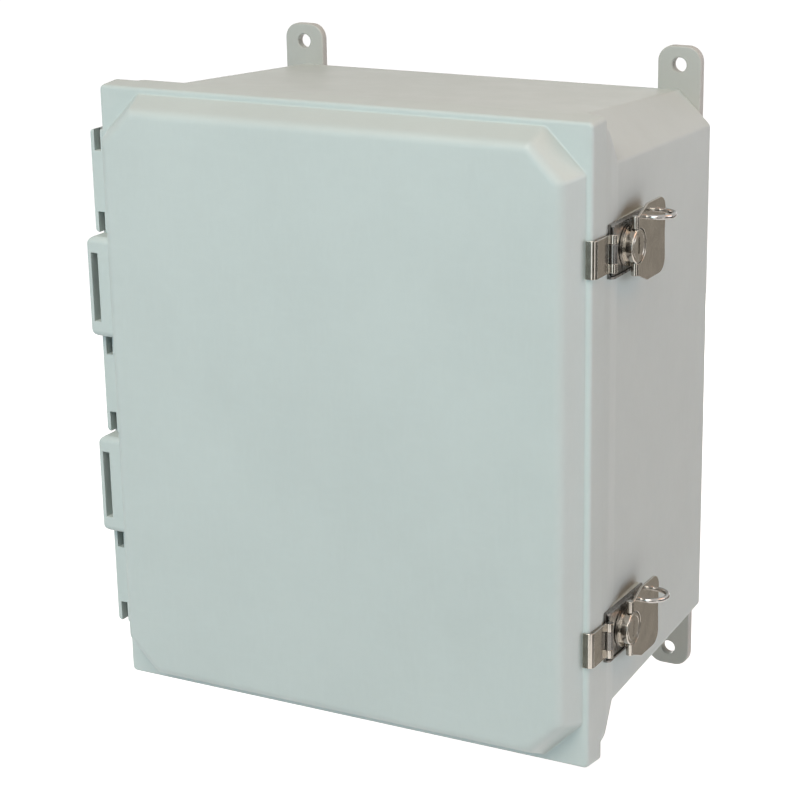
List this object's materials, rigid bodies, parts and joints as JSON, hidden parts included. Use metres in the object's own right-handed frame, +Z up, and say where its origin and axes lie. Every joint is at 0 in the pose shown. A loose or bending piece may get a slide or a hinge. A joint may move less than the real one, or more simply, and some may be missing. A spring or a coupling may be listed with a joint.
{
  "type": "fiberglass enclosure",
  "caption": "Wall-mounted fiberglass enclosure with a raised hinged cover, a moulded interleaved hinge, twist draw latches with padlock loops, and screwed-on mounting feet.",
  "frame": {"origin": "centre of the four wall holes, in the plane of the wall at the backs of the feet", "axes": "+X to the latch side seen from the front, +Y into the wall, +Z up"},
  "size_m": [0.3194, 0.1888, 0.3594],
  "materials": {
    "fiberglass": "satin moulded polyester",
    "foot_grey": "satin moulded polyester",
    "foam": "closed-cell foam",
    "stainless": "polished stainless",
    "plated": "bright plated",
    "brass": "turned"
  },
  "bodies": {
    "box_body": {"box": "fiberglass", "hinge_pin": "stainless", "panel_inserts": "brass", "foot_inserts": "brass", "foot_screws": "plated", "foot_top_left": "foot_grey", "foot_top_right": "foot_grey", "foot_bottom_left": "foot_grey", "foot_bottom_right": "foot_grey", "upper_latch_base": "stainless", "upper_latch_rivets": "plated", "lower_latch_base": "stainless", "lower_latch_rivets": "plated"},
    "cover_body": {"cover": "fiberglass", "gasket": "foam"},
    "upper_hub_body": {"upper_latch_hub": "stainless", "upper_latch_retainer": "plated"},
    "upper_link_body": {"upper_latch_link": "stainless", "upper_latch_hook_pin": "plated"},
    "upper_hook_body": {"upper_latch_hook": "stainless"},
    "upper_handle_body": {"upper_latch_handle": "stainless", "upper_latch_handle_pin": "plated", "upper_latch_staple": "stainless"},
    "lower_hub_body": {"lower_latch_hub": "stainless", "lower_latch_retainer": "plated"},
    "lower_link_body": {"lower_latch_link": "stainless", "lower_latch_hook_pin": "plated"},
    "lower_hook_body": {"lower_latch_hook": "stainless"},
    "lower_handle_body": {"lower_latch_handle": "stainless", "lower_latch_handle_pin": "plated", "lower_latch_staple": "stainless"}
  },
  "joints": [
    {"name": "cover_hinge", "type": "hinge", "parent": "box_body", "child": "cover_body", "pos_m": [-0.1515, -0.1598, 0], "axis": [0, 0, -1], "range_deg": [0, 180]},
    {"name": "upper_turn", "type": "hinge", "parent": "box_body", "child": "upper_hub_body", "pos_m": [0.1425, -0.1373, 0.1015], "axis": [1, 0, 0], "range_deg": [0, 180]},
    {"name": "upper_draw", "type": "slide", "parent": "box_body", "child": "upper_link_body", "axis": [0, -1, 0], "range_m": [0, 0.004]},
    {"name": "upper_hook_tip", "type": "hinge", "parent": "upper_link_body", "child": "upper_hook_body", "pos_m": [0.1462, -0.1568, 0.1015], "axis": [0, 0, 1], "range_deg": [0, 13]},
    {"name": "upper_lift", "type": "hinge", "parent": "upper_hub_body", "child": "upper_handle_body", "pos_m": [0.14948, -0.1373, 0.1015], "axis": [0, 0, -1], "range_deg": [0, 90]},
    {"name": "lower_turn", "type": "hinge", "parent": "box_body", "child": "lower_hub_body", "pos_m": [0.1425, -0.1373, -0.1015], "axis": [1, 0, 0], "range_deg": [0, 180]},
    {"name": "lower_draw", "type": "slide", "parent": "box_body", "child": "lower_link_body", "axis": [0, -1, 0], "range_m": [0, 0.004]},
    {"name": "lower_hook_tip", "type": "hinge", "parent": "lower_link_body", "child": "lower_hook_body", "pos_m": [0.1462, -0.1568, -0.1015], "axis": [0, 0, 1], "range_deg": [0, 13]},
    {"name": "lower_lift", "type": "hinge", "parent": "lower_hub_body", "child": "lower_handle_body", "pos_m": [0.14948, -0.1373, -0.1015], "axis": [0, 0, -1], "range_deg": [0, 90]}
  ],
  "couplings": [
    {"joint": "upper_draw", "follows": "upper_turn", "m_per_rad": 0.0012732},
    {"joint": "upper_hook_tip", "follows": "upper_turn", "ratio": 0.0722},
    {"joint": "lower_draw", "follows": "lower_turn", "m_per_rad": 0.0012732},
    {"joint": "lower_hook_tip", "follows": "lower_turn", "ratio": 0.0722}
  ]
}
